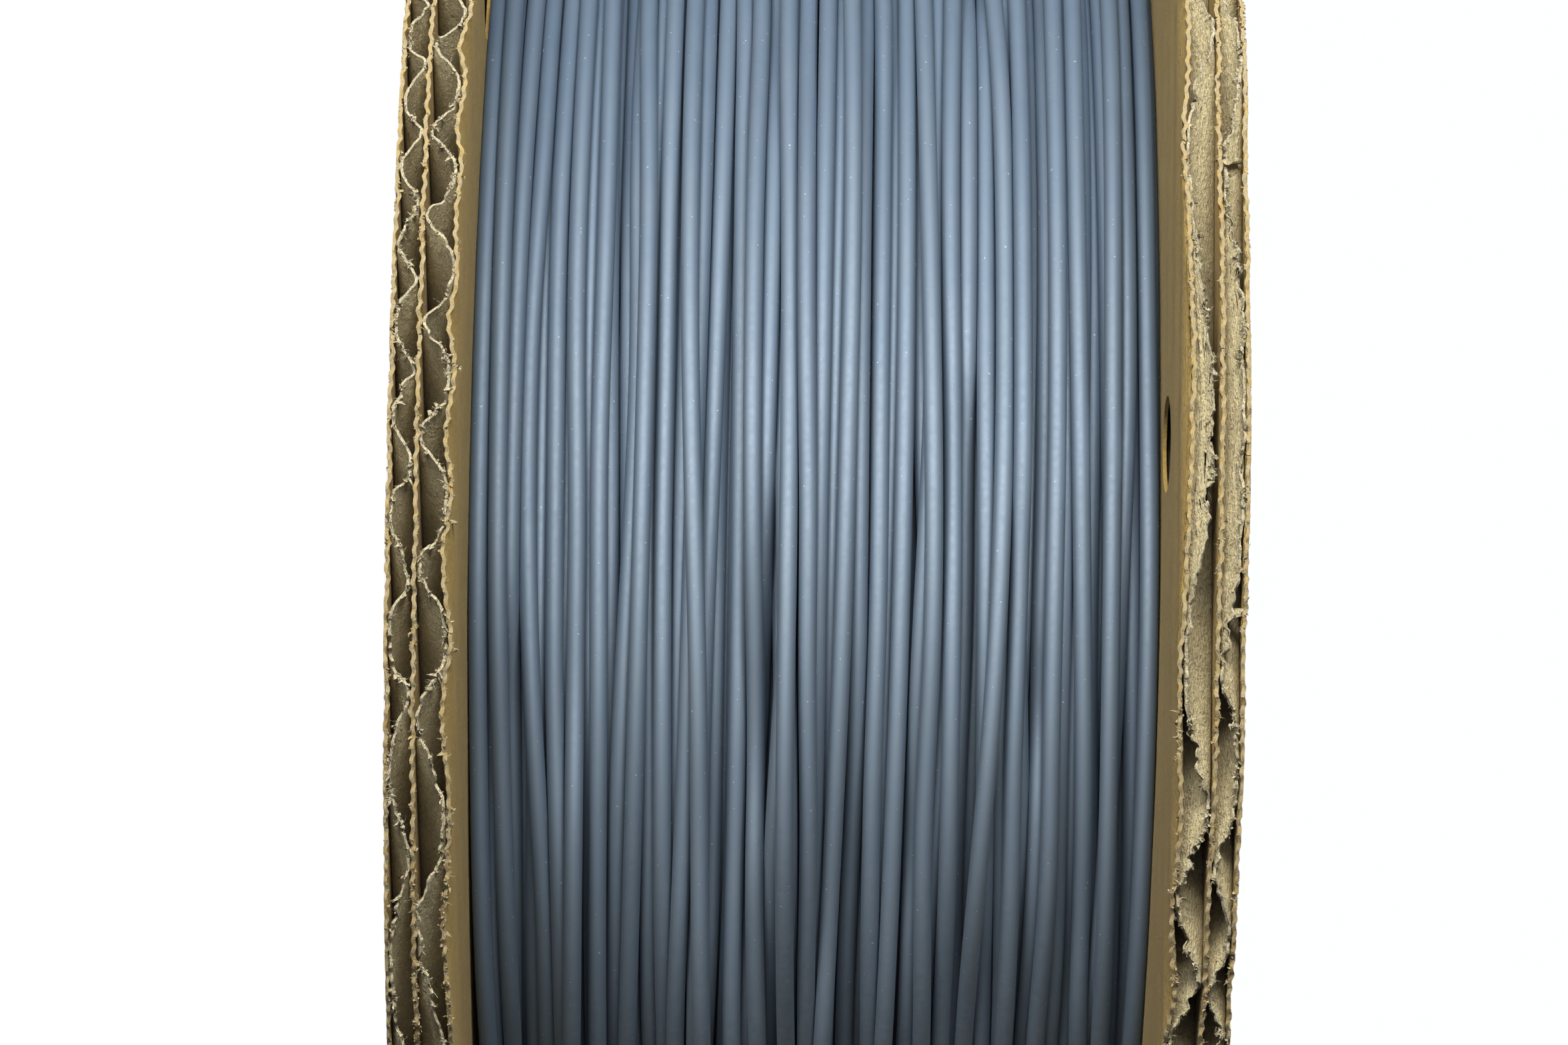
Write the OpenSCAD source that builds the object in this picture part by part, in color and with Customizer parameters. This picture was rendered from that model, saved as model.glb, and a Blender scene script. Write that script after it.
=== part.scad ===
// Cable spool: two round flanges of double-wall corrugated board on paper tubes, wound with
// thin jacketed cable. The spool lies on its lower flange, and its axis is +Z.
// Angles of holes and flutes are measured from -Y towards +X, in degrees.

/* [Flanges] */
// Diameter of both flanges
flange_d = 230; // [220:5:260]
// Clear width between the flanges, where the cable lies
winding_w = 72; // [60:1:90]
// Diameter of a hole that holds the end of the cable
end_hole_d = 10; // [8:0.5:12]
// Distance of an end hole's centre from the axis
end_hole_r = 95.5; // [95:0.5:98]
// Direction of the first end hole in the lower flange
lower_hole_angle = -37; // [-60:1:60]
// Direction of the first end hole in the upper flange
upper_hole_angle = -6; // [-8:1:-4]

/* [Board] */
// Thickness of a liner
liner_t = 0.4; // [0.3:0.05:0.5]
// Thickness of the fluted medium
medium_t = 0.3; // [0.2:0.05:0.35]
// Height of the small flutes, which lie outside
b_flute_h = 2.3; // [2:0.1:2.8]
// Distance between two small flutes
b_pitch = 6.3; // [6:0.1:6.6]
// Height of the large flutes, which lie inside
c_flute_h = 3.3; // [3:0.1:3.8]
// Distance between two large flutes
c_pitch = 7.8; // [7.4:0.1:8.2]
// Direction across the flutes of the lower flange
lower_flute_angle = 35.5; // [0:0.5:90]
// Direction across the flutes of the upper flange
upper_flute_angle = -6.5; // [-45:0.5:45]

/* [Tubes] */
// Outer diameter of the tube that the cable is wound on
core_d = 116; // [104:2:124]
// Wall of the winding core, without its cover ply
core_wall = 3.5; // [3:0.5:5]
// Thickness of the smooth cover ply round the winding core
cover_t = 0.5; // [0.4:0.1:0.8]
// Diameter of the hole that a spindle goes through
arbor_d = 52; // [50:1:54]
// Wall of the arbor tube
arbor_wall = 4; // [3:0.5:5]
// Thickness of a ring that centres the core on a flange
plug_t = 4; // [3:0.5:6]

/* [Cable] */
// Outer diameter of the cable
cable_d = 2; // [1.6:0.1:2.2]
// Diameter of the finished winding
winding_d = 190; // [186:1:190]

/* [Hidden] */
$fn = 96;
joint_gap = 0.01;  // where a short stretch of cable meets the winding
board_t = 3*liner_t + b_flute_h + c_flute_h;
spool_h = winding_w + 2*board_t;
flange_r = flange_d/2;
arbor_od = arbor_d + 2*arbor_wall;
core_id = core_d - 2*cover_t - 2*core_wall;
start_hole_d = cable_d + 1;
start_z = board_t + plug_t + 8;
wave_steps = 12;   // points along one flute
// Distances from the axis to a crest of each medium, across its flutes
lower_b_crest = 1.1;
lower_c_crest = 5.4;
upper_c_crest = 6;
upper_b_crest = 1.4;
cord_sides = 8;
// Heights of the five plies above the outer face of a flange
z_b = liner_t;
z_middle = z_b + b_flute_h;
z_c = z_middle + liner_t;
z_inner = z_c + c_flute_h;

// Outer end of the cable: along the winding, up through the end hole at the back, then over the
// outer face. x is measured from the hole's centre along the winding, y outwards, z up from the
// upper flange's inner face.
END_ROUTE = [
    [-26, -3, -7.5], [-21, -1.7, -6.4], [-16, -0.7, -5.2], [-12, -0.1, -4.2], [-9, 0.3, -3.4],
    [-6.4, 0.5, -2.2], [-4.3, 0.5, -1], [-2.7, 0.5, 0.8], [-1.4, 0.5, 2.6], [-0.2, 0.5, 4.4],
    [1.2, 0.5, 6.2], [3, 0.4, 7.4], [5.4, 0.2, 8.1], [8.4, -0.3, 8.2], [12, -1.1, 8],
    [16, -2.5, 7.85], [20.5, -4.4, 7.85], [25, -6.7, 7.85], [29.5, -9.3, 7.85], [34, -12.3, 7.85],
    [38.5, -15.7, 7.85]
];
// Inner end of the cable: from the winding through the core's wall, then along inside the core.
// x is measured along the core's wall, y outwards from its outer face, z up from the start hole.
START_ROUTE = [
    [0, 0, 0], [0, -3, 0], [0, -6, 0.2], [0.6, -8.6, 0.8], [2.6, -10.4, 2], [5.6, -11.4, 3.6],
    [9.2, -12, 5.4], [13, -12.6, 7.2]
];

KRAFT = [0.62, 0.49, 0.33];
FLUTING = [0.58, 0.49, 0.34];
GREYBOARD = [0.5, 0.46, 0.4];
JACKET = [0.5, 0.56, 0.62];

// Places something at a distance from the axis, in a direction measured from -Y towards +X.
module at_angle(angle, r) {
    rotate([0, 0, angle - 90]) translate([r, 0, 0]) children();
}

// What every ply is cut to: a disc with the arbor hole and two end holes half a turn apart.
module blank_cutters(h, hole_angle) {
    translate([0, 0, -1]) cylinder(d = arbor_od, h = h + 2);
    for (turn = [0, 180])
        at_angle(hole_angle + turn, end_hole_r)
            translate([0, 0, -1]) cylinder(d = end_hole_d, h = h + 2, $fn = 48);
}

module liner(hole_angle) {
    color(KRAFT) difference() {
        cylinder(r = flange_r, h = liner_t);
        blank_cutters(liner_t, hole_angle);
    }
}

// One point on the centre line of a flute: a cosine whose tips are flattened against the liners.
function flute_point(i, pitch, crest, amplitude) =
    let (waves = (i + 0.5)/wave_steps, flat = cos(180/wave_steps))
    [crest + waves*pitch, amplitude*max(-1, min(1, cos(360*waves)/flat))];

function segment_normal(a, b) = let (d = (b - a)/norm(b - a)) [-d[1], d[0]];

// The centre line moved sideways by an offset, with mitred corners.
function offset_line(line, offset) = [
    for (i = [1:len(line) - 2])
        let (
            before = segment_normal(line[i - 1], line[i]),
            after = segment_normal(line[i], line[i + 1])
        )
        line[i] + (before + after)*offset/(1 + before*after)
];

// Fluted medium, standing on z = 0. Its flutes run across the direction flute_angle.
module medium(flute_h, pitch, crest, flute_angle, hole_angle) {
    waves = ceil(flange_r/pitch) + 2;
    amplitude = (flute_h - medium_t)/2;
    ends = waves*wave_steps;
    line = [for (i = [-ends:ends]) flute_point(i, pitch, crest, amplitude)];
    above = offset_line(line, medium_t/2);
    below = offset_line(line, -medium_t/2);
    color(FLUTING) difference() {
        intersection() {
            cylinder(r = flange_r, h = flute_h);
            rotate([0, 0, flute_angle - 90])
                translate([0, 0, flute_h/2])
                    rotate([90, 0, 0])
                        linear_extrude(height = flange_d + 10, center = true)
                            polygon(concat(above, [for (i = [len(below) - 1:-1:0]) below[i]]));
        }
        blank_cutters(flute_h, hole_angle);
    }
}

// The lower flange counts its plies up from the floor, the upper one down from its outer face.
module upper(z_ply, ply_h) {
    translate([0, 0, spool_h - z_ply - ply_h]) children();
}

module lower_outer_liner() liner(lower_hole_angle);
module lower_b_medium() translate([0, 0, z_b])
    medium(b_flute_h, b_pitch, lower_b_crest, lower_flute_angle, lower_hole_angle);
module lower_middle_liner() translate([0, 0, z_middle]) liner(lower_hole_angle);
module lower_c_medium() translate([0, 0, z_c])
    medium(c_flute_h, c_pitch, lower_c_crest, lower_flute_angle, lower_hole_angle);
module lower_inner_liner() translate([0, 0, z_inner]) liner(lower_hole_angle);

module upper_inner_liner() upper(z_inner, liner_t) liner(upper_hole_angle);
module upper_c_medium() upper(z_c, c_flute_h)
    medium(c_flute_h, c_pitch, upper_c_crest, upper_flute_angle, upper_hole_angle);
module upper_middle_liner() upper(z_middle, liner_t) liner(upper_hole_angle);
module upper_b_medium() upper(z_b, b_flute_h)
    medium(b_flute_h, b_pitch, upper_b_crest, upper_flute_angle, upper_hole_angle);
module upper_outer_liner() upper(0, liner_t) liner(upper_hole_angle);

module ring(outer_d, inner_d, h) {
    difference() {
        cylinder(d = outer_d, h = h);
        translate([0, 0, -1]) cylinder(d = inner_d, h = h + 2);
    }
}

// Radial hole through the core, where the cable starts.
module start_hole() {
    at_angle(0, core_id/2 - 5) translate([0, 0, start_z])
        rotate([0, 90, 0]) cylinder(d = start_hole_d, h = core_wall + cover_t + 10, $fn = 32);
}

module core_tube() {
    color(GREYBOARD) difference() {
        translate([0, 0, board_t]) ring(core_d - 2*cover_t, core_id, winding_w);
        start_hole();
    }
}

module core_cover_ply() {
    color(KRAFT) difference() {
        translate([0, 0, board_t]) ring(core_d, core_d - 2*cover_t, winding_w);
        start_hole();
    }
}

module arbor_tube() {
    color(GREYBOARD) ring(arbor_od, arbor_d, spool_h);
}

module lower_core_plug() {
    color(GREYBOARD) translate([0, 0, board_t]) ring(core_id, arbor_od, plug_t);
}

module upper_core_plug() {
    color(GREYBOARD)
        translate([0, 0, spool_h - board_t - plug_t]) ring(core_id, arbor_od, plug_t);
}

module cable_winding() {
    color(JACKET) translate([0, 0, board_t]) ring(winding_d, core_d, winding_w);
}

// Frame of a ring on a route: its direction and two vectors across it.
function route_direction(route, i) =
    let (
        a = route[max(0, i - 1)],
        b = route[min(len(route) - 1, i + 1)]
    ) (b - a)/norm(b - a);

function ring_points(route, i, r) =
    let (
        d = route_direction(route, i),
        side = cross(d, [0, 0, 1])/norm(cross(d, [0, 0, 1])),
        up = cross(side, d)
    )
    [for (k = [0:cord_sides - 1])
        let (a = 360*k/cord_sides) route[i] + r*(cos(a)*side + sin(a)*up)];

// A round cord swept along a route as one polyhedron.
module cord(route, d) {
    n = len(route);
    m = cord_sides;
    points = [for (i = [0:n - 1]) for (p = ring_points(route, i, d/2)) p];
    sides = [
        for (i = [0:n - 2]) for (k = [0:m - 1])
            let (a = i*m + k, b = i*m + (k + 1) % m)
            for (f = [[a, b, b + m], [a, b + m, a + m]]) f
    ];
    first = [for (k = [m - 1:-1:0]) k];
    last = [for (k = [0:m - 1]) (n - 1)*m + k];
    polyhedron(points, concat(sides, [first, last]));
}

// The route's x runs along the winding and its y outwards, at the place of the hole.
module along_winding(angle, r, z) {
    translate([0, 0, z]) rotate([0, 0, angle]) translate([0, -r, 0]) mirror([0, 1, 0]) children();
}

module cable_start_end() {
    color(JACKET) along_winding(0, core_d/2 - joint_gap, start_z) cord(START_ROUTE, cable_d);
}

module cable_outer_end() {
    color(JACKET) along_winding(upper_hole_angle + 180, end_hole_r, spool_h - board_t)
        cord(END_ROUTE, cable_d);
}

lower_outer_liner();
lower_b_medium();
lower_middle_liner();
lower_c_medium();
lower_inner_liner();
upper_inner_liner();
upper_c_medium();
upper_middle_liner();
upper_b_medium();
upper_outer_liner();
core_tube();
core_cover_ply();
arbor_tube();
lower_core_plug();
upper_core_plug();
cable_winding();
cable_start_end();
cable_outer_end();
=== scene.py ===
# %% [markdown]
# # A spool of cable
# The spool has two round flanges, die-cut from double-wall corrugated board, on a paper core. Thin
# blue-grey cable is wound between them. The spool lies on its lower flange, so its axis is +Z.
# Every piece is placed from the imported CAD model, in metres, and stands for the node it replaces.

import math

import bpy
import numpy as np
from mathutils import Matrix, Vector


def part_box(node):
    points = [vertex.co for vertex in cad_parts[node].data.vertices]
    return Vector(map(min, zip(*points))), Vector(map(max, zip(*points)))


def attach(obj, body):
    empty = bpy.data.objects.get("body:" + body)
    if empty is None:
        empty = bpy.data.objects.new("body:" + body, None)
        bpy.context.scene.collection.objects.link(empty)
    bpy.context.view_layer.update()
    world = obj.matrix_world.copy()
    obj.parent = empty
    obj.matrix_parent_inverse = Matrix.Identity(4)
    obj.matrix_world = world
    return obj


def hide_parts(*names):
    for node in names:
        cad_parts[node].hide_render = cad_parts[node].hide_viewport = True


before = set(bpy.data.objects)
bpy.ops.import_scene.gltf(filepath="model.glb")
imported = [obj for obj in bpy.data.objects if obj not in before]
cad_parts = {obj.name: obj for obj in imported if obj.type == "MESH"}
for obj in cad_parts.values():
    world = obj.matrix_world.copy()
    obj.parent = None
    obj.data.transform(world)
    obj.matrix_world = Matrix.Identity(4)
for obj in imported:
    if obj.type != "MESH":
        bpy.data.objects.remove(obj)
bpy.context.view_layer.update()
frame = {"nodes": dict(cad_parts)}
nodes = frame["nodes"]

# %% Sizes, read from the CAD nodes
MM = 0.001
FLANGE_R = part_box("lower_outer_liner")[1].x
SPOOL_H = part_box("upper_outer_liner")[1].z
FLOOR_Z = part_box("lower_outer_liner")[0].z
CABLE_D = 2 * MM
WINDING_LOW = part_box("cable_winding")[0].z
WINDING_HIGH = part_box("cable_winding")[1].z
WINDING_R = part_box("cable_winding")[1].x
CORE_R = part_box("core_cover_ply")[1].x
ARBOR_OUTER_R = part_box("arbor_tube")[1].x
print("flange radius, winding radius, height:", FLANGE_R, WINDING_R, SPOOL_H)

# %% [markdown]
# ## Directions round the spool
# A direction is an angle measured from -Y, the front, towards +X. The flutes of the lower board run
# across a line 35.5 degrees from the front, and those of the upper board across one at -6.5 degrees.
# Cable-end holes lie half a turn apart in each flange. These are the CAD model's own values.

# %% The two boards
BOARDS = {
    "lower": {"flute_angle": 35.5, "hole_angle": -37, "seed": 11},
    "upper": {"flute_angle": -6.5, "hole_angle": -6, "seed": 23},
}
END_HOLE_R = 5 * MM
END_HOLE_AT = 95.5 * MM
FLUTES = {
    "b": {"pitch": 6.3 * MM, "lower_crest": 1.1 * MM, "upper_crest": 1.4 * MM},
    "c": {"pitch": 7.8 * MM, "lower_crest": 5.4 * MM, "upper_crest": 6 * MM},
}
MEDIUM_T = 0.3 * MM

# %% [markdown]
# ## Camera
# The camera looks square on to the axis, level with the middle of the winding, and is turned a quarter
# turn on its side, so that the lower flange stands at the picture's left. It is made first.

# %% Make the camera
CAMERA_GAP = 461 * MM
CAMERA_LENS = 107.1
SENSOR_WIDTH = 36
CAMERA_LEAN = math.radians(0.95)
AIM_RIGHT = 3.3 * MM
AIM_DOWN = 1.3 * MM


def make_camera():
    """Right is +Z and up is -X, both turned by the lean; the nearest point of the rim's middle lies
    AIM_RIGHT and AIM_DOWN from the picture's middle, CAMERA_GAP away."""
    lean_c, lean_s = math.cos(CAMERA_LEAN), math.sin(CAMERA_LEAN)
    right = np.array([-lean_s, 0, lean_c])
    up = np.array([-lean_c, 0, -lean_s])
    back = np.array([0, -1, 0])
    near_point = np.array([0, -FLANGE_R, SPOOL_H / 2])
    place = near_point - AIM_RIGHT * right + AIM_DOWN * up + CAMERA_GAP * back
    data = bpy.data.cameras.new("camera")
    data.lens = CAMERA_LENS
    data.sensor_width = SENSOR_WIDTH
    data.clip_start = 10 * MM
    data.clip_end = 20
    camera = bpy.data.objects.new("camera", data)
    bpy.context.scene.collection.objects.link(camera)
    matrix = np.eye(4)
    matrix[:3, 0], matrix[:3, 1], matrix[:3, 2], matrix[:3, 3] = right, up, back, place
    camera.matrix_world = Matrix(matrix.tolist())
    bpy.context.scene.camera = camera
    return camera


camera = make_camera()
print("camera at", [round(c, 3) for c in camera.matrix_world.translation])

# %% [markdown]
# ## Meshes from arrays
# Each surface below is worked out as whole numpy arrays: points, and faces as rows of four point
# numbers. A row may name a point twice, where a grid closes on itself, and then it is a triangle.
# Edges that fold by more than SHARP_ANGLE are kept sharp, so that a flat face beside a cut stays flat.

# %% Arrays to a mesh
SHARP_ANGLE = math.radians(42)
MERGE_GAP = 0.001 * MM


def merge_points(points, faces):
    """Points that round to the same micrometre become one, and the faces follow."""
    keys = np.round(points / MERGE_GAP).astype(np.int64)
    _, first, where = np.unique(keys, axis=0, return_index=True, return_inverse=True)
    return points[first], where.reshape(-1)[faces], first


def build_mesh(name, points, faces, smooth=True, **values):
    """A mesh from points and four-cornered faces. Corners that repeat the next one are left out, and
    values are one number for each point, kept as attributes."""
    points, faces, first = merge_points(points, faces)
    kept = faces != np.roll(faces, -1, axis=1)
    kept &= (kept.sum(1) >= 3)[:, None]
    sizes = kept.sum(1)
    sizes = sizes[sizes > 0]
    corners = faces[kept]
    mesh = bpy.data.meshes.new(name)
    mesh.vertices.add(len(points))
    mesh.vertices.foreach_set("co", points.astype(np.float32).ravel())
    mesh.loops.add(len(corners))
    mesh.loops.foreach_set("vertex_index", corners.astype(np.int32))
    mesh.polygons.add(len(sizes))
    mesh.polygons.foreach_set("loop_start", (np.cumsum(sizes) - sizes).astype(np.int32))
    mesh.update(calc_edges=True)
    mesh.validate()
    for key, value in values.items():
        layer = mesh.attributes.new(key, "FLOAT", "POINT")
        layer.data.foreach_set("value", value[first].astype(np.float32))
    if smooth:
        mesh.shade_smooth()
        mesh.set_sharp_from_angle(angle=SHARP_ANGLE)
    else:
        mesh.shade_flat()
    return mesh


def add_piece(name, mesh, material, replaced=()):
    """Links a finished piece, which rides on the spool's one body and stands for CAD nodes. A piece
    that is made before its material gets None, and the material later."""
    piece = bpy.data.objects.new(name, mesh)
    bpy.context.scene.collection.objects.link(piece)
    if material:
        mesh.materials.append(material)
    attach(piece, "root")
    if replaced:
        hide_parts(*replaced)
    return piece


def close_sheet(top, bottom, faces):
    """One closed sheet: the top faces, the same faces turned over on the bottom points, and a strip
    from each open edge of the top to the one below it."""
    count = len(top)
    start, end = faces.ravel(), np.roll(faces, -1, axis=1).ravel()
    real = start != end
    start, end = start[real], end[real]
    alone = ~np.isin(start * count + end, end * count + start)
    a, b = start[alone], end[alone]
    sides = np.stack([b, a, a + count, b + count], axis=1)
    return np.vstack([top, bottom]), np.vstack([faces, faces[:, ::-1] + count, sides])


# %% [markdown]
# ## The strand
# The cable is one round strand. It could be a curve with a bevel. A tube worked out as points can
# carry a tone on each point for the jacket, and its box is the tube's own. The layers of the winding
# and the loose end are all made by this one function.

# %% A tube along a path on a drum
STRAND_SIDES = 10


def strand_tube(z, r, angle):
    """A round tube along a path on a drum. Its rings stand square to the path's direction, on the
    drum's outward direction and the one across both, and both ends are closed."""
    path = np.stack([r * np.sin(angle), -r * np.cos(angle), z], axis=1)
    along = np.gradient(path, axis=0)
    along /= np.linalg.norm(along, axis=1, keepdims=True)
    outward = np.stack([np.sin(angle), -np.cos(angle), np.zeros_like(angle)], axis=1)
    across = np.cross(along, outward)
    across /= np.linalg.norm(across, axis=1, keepdims=True)
    outward = np.cross(across, along)
    turn = np.arange(STRAND_SIDES) / STRAND_SIDES * 2 * math.pi
    ring = np.cos(turn)[None, :, None] * outward[:, None] + np.sin(turn)[None, :, None] * across[:, None]
    points = (path[:, None] + CABLE_D / 2 * ring).reshape(-1, 3)
    count = len(path)
    step, side = np.meshgrid(np.arange(count - 1), np.arange(STRAND_SIDES), indexing="ij")
    a, b = step * STRAND_SIDES + side, step * STRAND_SIDES + (side + 1) % STRAND_SIDES
    faces = np.stack([a, b, b + STRAND_SIDES, a + STRAND_SIDES], axis=-1).reshape(-1, 4)
    ends = [path[0], path[-1]]
    side = np.arange(STRAND_SIDES)
    ahead = (side + 1) % STRAND_SIDES
    last_ring = (count - 1) * STRAND_SIDES
    first, last = np.full_like(side, len(points)), np.full_like(side, len(points) + 1)
    near = np.stack([first, ahead, side, first], axis=1)
    far = np.stack([last, last_ring + side, last_ring + ahead, last], axis=1)
    return np.vstack([points, ends]), np.vstack([faces, near, far])


# %% [markdown]
# ## The loose end of the cable
# The outer end leaves the winding near the back, passes out through the upper flange's back hole and lies
# on the flange's outer face. It is a length of the same cable, cut off bare. Nothing coils here, so its
# points are listed one by one: x along the winding, y outward and z up, all in millimetres from the back
# hole's middle at the upper liner's inner face.

# %% Lay the loose end
END_TURN = math.radians(174)
END_STEPS = 5
PLAIN_TONE = 0.5
END_ROUTE = (
    (-26, -3, -7.5), (-21, -1.7, -6.4), (-16, -0.7, -5.2), (-12, -0.1, -4.2), (-9, 0.3, -3.4),
    (-6.4, 0.5, -2.2), (-4.3, 0.5, -1), (-2.7, 0.5, 0.8), (-1.4, 0.5, 2.6), (-0.2, 0.5, 4.4),
    (1.2, 0.5, 6.2), (3, 0.4, 7.4), (5.4, 0.2, 8.1), (8.4, -0.3, 8.2), (12, -1.1, 8),
    (16, -2.5, 7.85), (20.5, -4.4, 7.85), (25, -6.7, 7.85), (29.5, -9.3, 7.85),
    (34, -12.3, 7.85), (38.5, -15.7, 7.85),
)


def smooth_route(route, steps):
    """A Catmull-Rom curve: each stretch is a cubic through its two points, and its direction at a
    point is that from the point before to the point after."""
    points = np.array(route, float)
    padded = np.vstack([2 * points[0] - points[1], points, 2 * points[-1] - points[-2]])
    p0, p1, p2, p3 = (padded[k : len(points) - 1 + k, None] for k in range(4))
    t = (np.arange(steps) / steps)[None, :, None]
    curve = 0.5 * (2 * p1 + (p2 - p0) * t + (2 * p0 - 5 * p1 + 4 * p2 - p3) * t**2
                   + (3 * p1 - p0 - 3 * p2 + p3) * t**3)
    return np.vstack([curve.reshape(-1, 3), points[-1:]])


def lay_loose_end():
    """The route turned to its place on the winding, as a tube with the cable's thickness. It gets its
    material once that is made."""
    x, y, z = (smooth_route(END_ROUTE, END_STEPS) * MM).T
    out = END_HOLE_AT + y
    path = np.stack([x * math.cos(END_TURN) + out * math.sin(END_TURN),
                     x * math.sin(END_TURN) - out * math.cos(END_TURN), WINDING_HIGH + z], axis=1)
    x, y, z = path.T
    points, faces = strand_tube(z, np.hypot(x, y), np.unwrap(np.arctan2(x, -y)))
    mesh = build_mesh("cable_loose_end", points, faces, tone=np.full(len(points), PLAIN_TONE))
    loose_end = add_piece("cable_loose_end", mesh, None, ["cable_outer_end"])
    length = float(np.linalg.norm(np.diff(path, axis=0), axis=1).sum())
    return loose_end, path[0], length


loose_end, end_start, end_length = lay_loose_end()
print("loose end:", round(end_length * 1000, 1), "mm, from", [round(c * 1000, 1) for c in end_start])

# %% [markdown]
# ## Noise that goes round
# Cut board is never even. One smooth random curve round the rim, made from knots with a cosine
# between each pair, gives every kind of unevenness when its wavelength and seed are chosen. Blender
# has noise of its own, but this one meets itself after a full turn and is the same on every run.

# %% Noise round the rim
OCTAVE_SEED = 97


def rim_noise(angle, wavelength, seed):
    """Random knots, one each wavelength along the rim, with a cosine from knot to knot. Its values
    lie between -1 and 1, and it meets itself after a full turn."""
    count = max(3, int(round(2 * math.pi * FLANGE_R / wavelength)))
    knots = np.random.default_rng(seed).uniform(-1, 1, count)
    place = (angle / (2 * math.pi)) % 1 * count
    low = np.floor(place).astype(int) % count
    share = 0.5 - 0.5 * np.cos(math.pi * (place - np.floor(place)))
    return knots[low] * (1 - share) + knots[(low + 1) % count] * share


def rough_noise(angle, wavelength, seed, octaves=3):
    """Noise of one wavelength with finer noise on it, each octave half as long and half as high."""
    layers = [rim_noise(angle, wavelength / 2**k, seed + OCTAVE_SEED * k) / 2**k for k in range(octaves)]
    return sum(layers) / (2 - 0.5 ** (octaves - 1))


print("noise at the front:", round(float(rough_noise(np.array([0.0]), 5 * MM, 1)[0]), 3))

# %% [markdown]
# ## A disc made of chords
# Corrugated board is straight along its flutes and wavy across them. A polar grid would break every
# flute into steps, so each disc is made of chords that run along the flutes. They are spaced so that
# their ends stand evenly round the rim, close rows follow the rim, and gaps in the chords are holes.

# %% The chord grid
COLUMNS = 1100
RIM_SHARE = 0.92
RIM_STEPS = np.array([0, 0.22, 0.5, 0.85, 1.3, 1.9, 2.8, 4.2, 6.5, 10, 14]) * MM


def chord_grid(hole_groups):
    """Chord j lies at u = R sin(s), with s in equal steps from -90 to 90 degrees, and reaches to
    v = +-R cos(s). Its rows stand RIM_STEPS inside each end, or closer on a short chord, where they
    take RIM_SHARE of its half. Each group of holes gives a pair of rows, which part where u is inside
    a hole."""
    s = (np.arange(COLUMNS) + 0.5) / COLUMNS * math.pi - math.pi / 2
    u, half = FLANGE_R * np.sin(s), FLANGE_R * np.cos(s)
    shares = np.linspace(0, RIM_SHARE, len(RIM_STEPS))
    ends = np.minimum(RIM_STEPS, half[:, None] * shares)
    inner = half - ends[:, -1]
    rows, parted = [-half[:, None] + ends], []
    for holes in hole_groups:
        across, along, radius = (np.array(column) for column in zip(*holes))
        nearest = np.abs(u[:, None] - across).argmin(1)
        gap = np.sqrt(np.maximum(radius[nearest] ** 2 - (u - across[nearest]) ** 2, 0))
        low = np.clip(along[nearest] - gap, -inner, inner)
        high = np.clip(along[nearest] + gap, -inner, inner)
        rows.append(np.stack([low, high], axis=1))
        parted.append(gap > 0)
    rows.append((half[:, None] - ends)[:, ::-1])
    v = np.maximum.accumulate(np.hstack(rows), axis=1)
    count = v.shape[1]
    column, row = np.meshgrid(np.arange(COLUMNS - 1), np.arange(count - 1), indexing="ij")
    corner = column * count + row
    faces = np.stack([corner, corner + count, corner + count + 1, corner + 1], axis=-1)
    solid = np.ones(column.shape, bool)
    for k, gap in enumerate(parted):
        solid[:, len(RIM_STEPS) + 2 * k] = ~(gap[:-1] | gap[1:])
    u = np.repeat(u[:, None], count, axis=1)
    return u.ravel(), v.ravel(), faces[solid]


def holes_across_flutes(board):
    """The arbor hole and the two end holes, as (u, v, radius), in groups ordered along the flutes."""
    turn = math.radians(board["hole_angle"] - board["flute_angle"])
    u, v = END_HOLE_AT * math.cos(turn), END_HOLE_AT * math.sin(turn)
    arbor, front, back = (0, 0, ARBOR_OUTER_R), (u, v, END_HOLE_R), (-u, -v, END_HOLE_R)
    if abs(v) < ARBOR_OUTER_R:
        return [[front, arbor, back]]
    return [[front], [arbor], [back]] if v < 0 else [[back], [arbor], [front]]


for name, board in BOARDS.items():
    board["grid"] = chord_grid(holes_across_flutes(board))
    print(name, "board's grid:", len(board["grid"][0]), "points,", len(board["grid"][2]), "faces")

# %% [markdown]
# ## How the cut edge looks
# A serrated steel rule cuts the board. It leaves a small scallop every 1.6 mm along each liner and
# tears the softer fluted paper between its teeth. Away from the joints the liners also sink a little
# into the hollows of the flutes. All of this fades out within a few millimetres of the rim.

# %% Rim shapes
SCALLOP = 1.6 * MM
CUT_BACK = 0.3
SCALLOP_DEEP = 0.07
CUT_ROUGH = 0.2
CUT_WANDER = 0.1
TORN_BACK = 0.2
BITE_DEEP = 1.3
BITE_FROM = 0.05
RAGGED = 0.16


def place_on_board(board, u, v):
    """Turns board coordinates into the frame: u runs at flute_angle from -Y, and v a quarter turn on."""
    turn = math.radians(board["flute_angle"] - 90)
    x = u * math.cos(turn) - v * math.sin(turn)
    y = u * math.sin(turn) + v * math.cos(turn)
    return x, y


def scallops(angle, seed):
    """A wave of one tooth's pitch, with its phase wandering along the rim."""
    drift = 2.2 * rough_noise(angle, 14 * MM, seed)
    return np.cos(angle * FLANGE_R / SCALLOP * 2 * math.pi + drift)


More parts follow.
